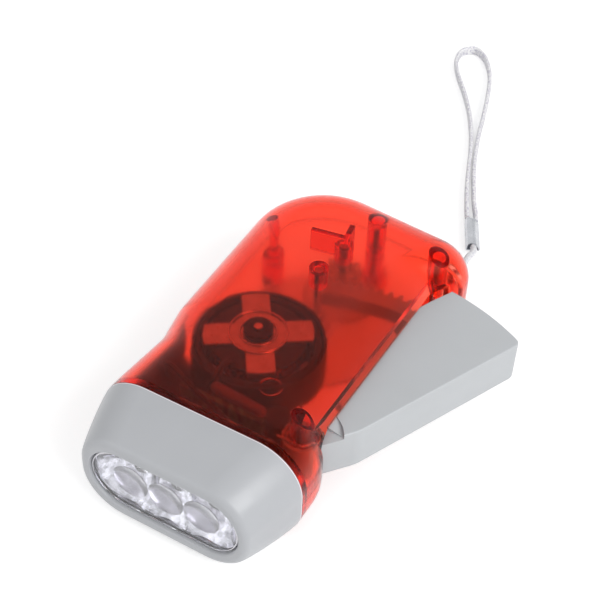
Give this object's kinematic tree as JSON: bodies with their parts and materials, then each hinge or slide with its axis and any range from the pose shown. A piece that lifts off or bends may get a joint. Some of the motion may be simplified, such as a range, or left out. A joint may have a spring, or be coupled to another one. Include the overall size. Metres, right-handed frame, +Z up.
{
  "type": "squeeze dynamo flashlight",
  "caption": "Hand-crank flashlight in a translucent two-shell housing with a squeeze lever, gear train, flywheel generator, wide lamp head and wrist strap.",
  "frame": {"origin": "on the flat underside, on the head's centre line, 38 mm behind the joint between the head and the shells", "axes": "light beam towards -Y, squeeze lever on the +X side, +Z up from the flat underside"},
  "size_m": [0.0723, 0.2059, 0.0272],
  "materials": {
    "shell_red": "smooth translucent red moulded plastic",
    "head_grey": "fine satin grey moulded plastic",
    "lever_grey": "smooth satin light grey moulded plastic",
    "lens_clear": "polished clear plastic",
    "reflector_mirror": "bright vacuum-metallised plastic",
    "led_clear": "clear epoxy",
    "board_green": "solder-masked board",
    "cell_steel": "plain nickel-plated can",
    "component_black": "moulded component body",
    "wire_black": "flexible insulation",
    "flywheel_black": "dark moulded cup",
    "magnet": "dull bonded ferrite",
    "pole_steel": "pressed steel",
    "bobbin_black": "moulded bobbin",
    "copper": "varnished copper wire",
    "axle_steel": "ground steel",
    "gear_nylon": "natural white nylon",
    "spring_steel": "bright spring wire",
    "screw_steel": "zinc-plated",
    "cord_grey": "woven synthetic",
    "crimp_metal": "folded satin metal"
  },
  "bodies": {
    "housing": {"top_shell": "shell_red", "bottom_shell": "shell_red", "head_bezel": "head_grey", "lens": "lens_clear", "reflector": "reflector_mirror", "led_1": "led_clear", "led_2": "led_clear", "led_3": "led_clear", "led_board": "board_green", "storage_cell": "cell_steel", "circuit_board": "board_green", "rectifier": "component_black", "coil_wire_1": "wire_black", "coil_wire_2": "wire_black", "led_wire_1": "wire_black", "led_wire_2": "wire_black", "upper_pole_plate": "pole_steel", "lower_pole_plate": "pole_steel", "coil_bobbin": "bobbin_black", "coil_winding": "copper", "stator_core": "pole_steel", "transfer_axle": "axle_steel", "drive_axle": "axle_steel", "lever_return_spring": "spring_steel", "housing_screw_1": "screw_steel", "housing_screw_2": "screw_steel", "housing_screw_3": "screw_steel", "strap_tether": "cord_grey", "strap_crimp": "crimp_metal", "strap_loop": "cord_grey"},
    "lever": {"lever": "lever_grey"},
    "drive_pinion": {"drive_pinion": "gear_nylon", "clutch_spring": "spring_steel"},
    "drive_gear": {"drive_gear": "gear_nylon"},
    "transfer_gear": {"transfer_gear": "gear_nylon"},
    "flywheel": {"flywheel": "flywheel_black", "ring_magnet": "magnet", "flywheel_axle": "axle_steel", "flywheel_pinion": "gear_nylon"}
  },
  "joints": [
    {"name": "lever_pivot", "type": "hinge", "parent": "housing", "child": "lever", "pos_m": [0.017, -0.0259, 0.0134], "axis": [0, 0, 1], "range_deg": [0, 19], "stiffness_Nm_per_rad": 0.03, "springref_deg": -11.46, "deforming": ["lever_return_spring"]},
    {"name": "drive_pinion_turn", "type": "hinge", "parent": "housing", "child": "drive_pinion", "pos_m": [-0.00169, 0.02689, 0.0134], "axis": [0, 0, 1], "range_deg": [-248, 1]},
    {"name": "flywheel_turn", "type": "hinge", "parent": "housing", "child": "flywheel", "pos_m": [-0.0053, -0.00634, 0.012], "axis": [0, 0, 1], "continuous": true},
    {"name": "transfer_turn", "type": "hinge", "parent": "housing", "child": "transfer_gear", "pos_m": [-0.0019, 0.01489, 0.005], "axis": [0, 0, 1], "continuous": true},
    {"name": "drive_gear_turn", "type": "hinge", "parent": "housing", "child": "drive_gear", "pos_m": [-0.00169, 0.02689, 0.007], "axis": [0, 0, 1], "continuous": true}
  ],
  "couplings": [
    {"joint": "drive_pinion_turn", "follows": "lever_pivot", "ratio": -13},
    {"joint": "transfer_turn", "follows": "flywheel_turn", "ratio": -0.16216},
    {"joint": "drive_gear_turn", "follows": "flywheel_turn", "ratio": 0.054054}
  ]
}
